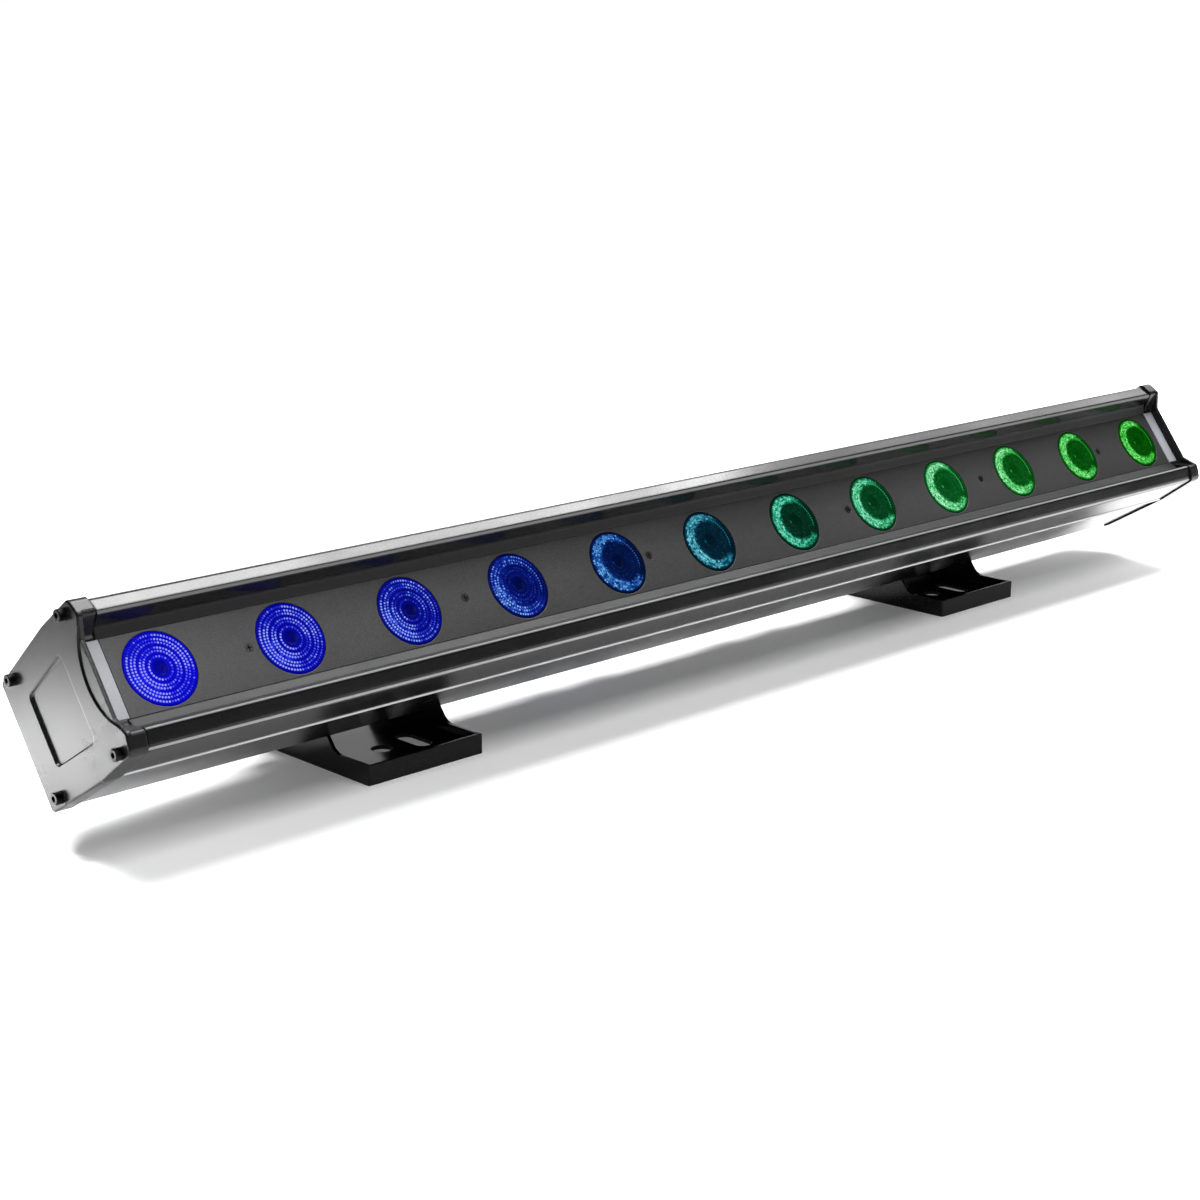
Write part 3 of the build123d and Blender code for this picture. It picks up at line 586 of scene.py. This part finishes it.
def build_lens(number):
    """A faceted lens, painted with its own light, in place of the plain CAD lens."""
    node = f"lens_{number:02d}"
    co = measured(node)
    across, up, out = (co @ np.array(axis) for axis in (ALONG, UP, OUT))
    centre_along = float((across.min() + across.max()) / 2)
    centre_up = float((up.min() + up.max()) / 2)
    centre = ALONG * centre_along + UP * centre_up
    radius = float(across.max() - across.min()) / 2 * 1000
    top = float(out.max())
    rng = random.Random(SEED + number)
    bm = bmesh.new()
    glow = bm.loops.layers.color.new("glow")
    paint = {}

    def point(a, b, h, level):
        """A vertex at (a, b) mm from the axis and h mm under the crown."""
        spot = centre + ALONG * (a / 1000) + UP * (b / 1000) + OUT * (top - h / 1000)
        vert = bm.verts.new(spot)
        paint[vert] = lens_colour(number, level)
        return vert

    def face_drop(r):
        """Depth of the front face under the crown at radius r, in mm."""
        cup = CUP_DEPTH * (1 - smooth(CORE_RADIUS - CUP_WALL, CORE_RADIUS, r))
        return FACE_DEPTH + FACE_FALL * (r / radius) ** 2 + cup

    # Front face, crown to rim, then the skirt and the closed underside.
    last = FACE_RINGS - 1
    radii = [FIRST_RING + (radius - RING_MARGIN) * k / last for k in range(FACE_RINGS)]
    patches = [[rng.random() for _ in range(STEPS)] for _ in radii]
    profile = [(r, face_drop(r)) for r in radii]
    profile += [(radius, SKIRT_TOP), (radius, SKIRT_FOOT), (radius - UNDERSIDE_INSET, UNDERSIDE)]
    loops = []
    for ring, (r, drop) in enumerate(profile):
        row = []
        for k in range(STEPS):
            angle = 2 * math.pi * k / STEPS
            a, b = r * math.cos(angle), r * math.sin(angle)
            level = SKIRT_LEVEL
            if ring < FACE_RINGS:
                level = lens_level(number, a / radius, b / radius, patches[ring][k // 2])
            row.append(point(a, b, drop, level))
        loops.append(row)
    for inner, outer in zip(loops, loops[1:]):
        for k in range(STEPS):
            j = (k + 1) % STEPS
            bm.faces.new((inner[k], outer[k], outer[j], inner[j]))
    hub = point(0, 0, face_drop(0), HUB_LEVEL)
    base = point(0, 0, UNDERSIDE, 0.0)
    for k in range(STEPS):
        j = (k + 1) % STEPS
        bm.faces.new((hub, loops[0][k], loops[0][j]))
        bm.faces.new((base, loops[-1][j], loops[-1][k]))

    # Rings of small raised facets on the front face.
    for ring, r in enumerate(DOT_RINGS):
        count = int(round(2 * math.pi * r / DOT_PITCH))
        for k in range(count):
            angle = 2 * math.pi * (k + 0.5 * (ring % 2)) / count
            a, b = r * math.cos(angle), r * math.sin(angle)
            level = dot_level(number, a / radius, b / radius, rng.random())
            drop = face_drop(r)
            crown = point(a, b, drop - DOT_HEIGHT, level)
            belts = []
            for share, rise, shade in DOT_BELTS:
                belt = []
                for t in range(DOT_SIDES):
                    turn = 2 * math.pi * t / DOT_SIDES
                    side_a = a + DOT_RADIUS * share * math.cos(turn)
                    side_b = b + DOT_RADIUS * share * math.sin(turn)
                    belt.append(point(side_a, side_b, drop - DOT_HEIGHT * rise, level * shade))
                belts.append(belt)
            foot = point(a, b, drop + DOT_ROOT, DOT_FOOT_LEVEL)
            for t in range(DOT_SIDES):
                n = (t + 1) % DOT_SIDES
                bm.faces.new((crown, belts[0][t], belts[0][n]))
                bm.faces.new((belts[0][t], belts[1][t], belts[1][n], belts[0][n]))
                bm.faces.new((foot, belts[1][n], belts[1][t]))

    bm.normal_update()
    for face in bm.faces:
        face.smooth = True
        for loop in face.loops:
            loop[glow] = paint[loop.vert]
    mesh = bpy.data.meshes.new(f"collimator_{number:02d}")
    bm.to_mesh(mesh)
    bm.free()
    piece = bpy.data.objects.new(f"collimator_{number:02d}", mesh)
    bpy.context.scene.collection.objects.link(piece)
    mesh.materials.append(lens_glow(number))
    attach(piece, "head")
    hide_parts(node)


for number in range(1, LENS_COUNT + 1):
    build_lens(number)


# ---------------------------------------------------------------- stage, light and camera

# The camera: its place in metres, its angles in degrees and its lens in millimetres.
CAMERA_PLACE = (-1.0620, -0.99852, 0.43013)
CAMERA_TURN = 44.329
CAMERA_PITCH = 14.778
CAMERA_ROLL = 0.207
CAMERA_LENS = 66.286
CAMERA_SENSOR = 36
CAMERA_NEAR = 0.05
CAMERA_FAR = 60
# The backdrop, in metres along the camera's view: front and back of the floor, radius of the
# curve, its steps, top and half width.
FLOOR_FRONT = -4.5
FLOOR_BACK = 4.5
CURVE_RADIUS = 1.6
CURVE_STEPS = 12
BACKDROP_TOP = 5.0
BACKDROP_HALF = 7.0
BACKDROP_TURN = 44.3
# The floor's own light: brightness beside the object and away from it, and the share that is left
# beyond the left end of the bar.
GLOW_NEAR = 0.10
GLOW_FAR = 0.80
GLOW_LEFT_SHARE = 0.05
SKY_COLOUR = (0.9, 0.93, 1.0, 1)
SKY_STRENGTH = 0.07


def floor_material():
    """White floor that glows a little beside the object and more away from it."""
    s = Shader("studio_floor", rough=0.9, specular=0.05)
    soft = s.noise(scale=3, detail=3, rough=0.5)
    s.colour(s.mix(s.swing(soft, 0, 1), (0.90, 0.90, 0.90), (0.93, 0.93, 0.93)))
    # The glow grows with the distance from the middle of the object.
    split = s.add("ShaderNodeSeparateXYZ")
    s.link(s.coords, split.inputs["Vector"])
    x, y = split.outputs["X"], split.outputs["Y"]
    squared_x = s.math("POWER", s.math("MULTIPLY", x, 0.75), 2.0)
    flat = s.math("ADD", squared_x, s.math("POWER", y, 2.0))
    far = s.remap(flat, low=0.02, high=0.5, to_low=GLOW_NEAR, to_high=GLOW_FAR)
    left = s.math("SUBTRACT", s.math("ADD", x, 0.5), s.math("MULTIPLY", y, 0.556))
    fade = s.remap(left, low=-0.3, high=0.0, to_low=GLOW_LEFT_SHARE, to_high=1.0)
    s.link(s.math("MULTIPLY", far, fade), s.bsdf.inputs["Emission Strength"])
    s.set("Emission Color", (1, 1, 1, 1))
    return s.material


def build_floor():
    """A floor that curves up into a backdrop behind the object, seen from the camera."""
    section = [(FLOOR_FRONT, 0.0), (FLOOR_BACK, 0.0)]
    for k in range(1, CURVE_STEPS + 1):
        t = math.pi / 2 * k / CURVE_STEPS
        depth = FLOOR_BACK + CURVE_RADIUS * math.sin(t)
        section.append((depth, CURVE_RADIUS * (1 - math.cos(t))))
    section.append((FLOOR_BACK + CURVE_RADIUS, BACKDROP_TOP))
    bm = bmesh.new()
    turn = Matrix.Rotation(-math.radians(BACKDROP_TURN), 4, "Z")
    rows = []
    for depth, height in section:
        ends = (Vector((side, depth, height)) for side in (-BACKDROP_HALF, BACKDROP_HALF))
        rows.append([bm.verts.new(turn @ end) for end in ends])
    for a, b in zip(rows, rows[1:]):
        face = bm.faces.new((a[0], a[1], b[1], b[0]))
        face.smooth = True
    mesh = bpy.data.meshes.new("floor")
    bm.to_mesh(mesh)
    bm.free()
    obj = bpy.data.objects.new("floor", mesh)
    bpy.context.scene.collection.objects.link(obj)
    mesh.materials.append(floor_material())


def area_light(name, place, target, size, power, spread=180):
    """A rectangular soft light whose first side runs as close to ALONG as its aim allows."""
    data = bpy.data.lights.new(name, "AREA")
    data.shape = "RECTANGLE"
    data.size, data.size_y = size
    data.energy = power
    data.spread = math.radians(spread)
    back = (Vector(place) - Vector(target)).normalized()
    side = (ALONG - back * ALONG.dot(back)).normalized()
    over = back.cross(side)
    rows = [[axis[r] for axis in (side, over, back)] + [place[r]] for r in range(3)]
    obj = bpy.data.objects.new(name, data)
    obj.matrix_world = Matrix(rows + [[0, 0, 0, 1]])
    bpy.context.scene.collection.objects.link(obj)


def build_camera():
    """The camera that sees the object as the photograph does."""
    turn = math.radians(CAMERA_TURN)
    pitch = math.radians(CAMERA_PITCH)
    roll = math.radians(CAMERA_ROLL)
    level = math.cos(pitch)
    forward = Vector((math.sin(turn) * level, math.cos(turn) * level, -math.sin(pitch)))
    side = Vector((math.cos(turn), -math.sin(turn), 0))
    over = side.cross(forward)
    right = side * math.cos(roll) + over * math.sin(roll)
    up = over * math.cos(roll) - side * math.sin(roll)
    data = bpy.data.cameras.new("camera")
    data.sensor_width = CAMERA_SENSOR
    data.lens = CAMERA_LENS
    data.clip_start = CAMERA_NEAR
    data.clip_end = CAMERA_FAR
    obj = bpy.data.objects.new("camera", data)
    columns = (right, up, -forward, CAMERA_PLACE)
    rows = [[column[r] for column in columns] for r in range(3)]
    obj.matrix_world = Matrix(rows + [[0, 0, 0, 1]])
    bpy.context.scene.collection.objects.link(obj)
    bpy.context.scene.camera = obj


build_floor()
build_camera()
area_light(
    "panel_key", place=(-0.15, -0.84, 1.15), target=(-0.50, -0.05, 0.10), size=(0.60, 0.45), power=12,
)
area_light(
    "top_left", place=(0.45, 0.24, 1.28), target=(0.0, -0.05, 0.13), size=(1.2, 0.22), power=17,
)
area_light(
    "top_right", place=(1.75, 0.24, 1.28), target=(0.3, -0.05, 0.13), size=(1.4, 0.22), power=5,
)
area_light(
    "low_strip", place=(1.45, -1.38, 0.05), target=(0.3, -0.05, 0.08), size=(2.5, 0.08), power=3,
)
area_light(
    "floor_soft", place=(0.9, 0.1, 2.7), target=(0.9, 0.3, 0.0), size=(2.0, 1.2), power=42, spread=90,
)
area_light(
    "cap_floor", place=(-0.60, 0.14, 0.40), target=(-0.60, 0.14, 0.0), size=(0.15, 0.15), power=2.0,
    spread=60,
)

world = bpy.data.worlds.new("studio")
world.use_nodes = True
sky = world.node_tree.nodes["Background"]
sky.inputs["Color"].default_value = SKY_COLOUR
sky.inputs["Strength"].default_value = SKY_STRENGTH
bpy.context.scene.world = world
bpy.context.scene.view_settings.view_transform = "Standard"
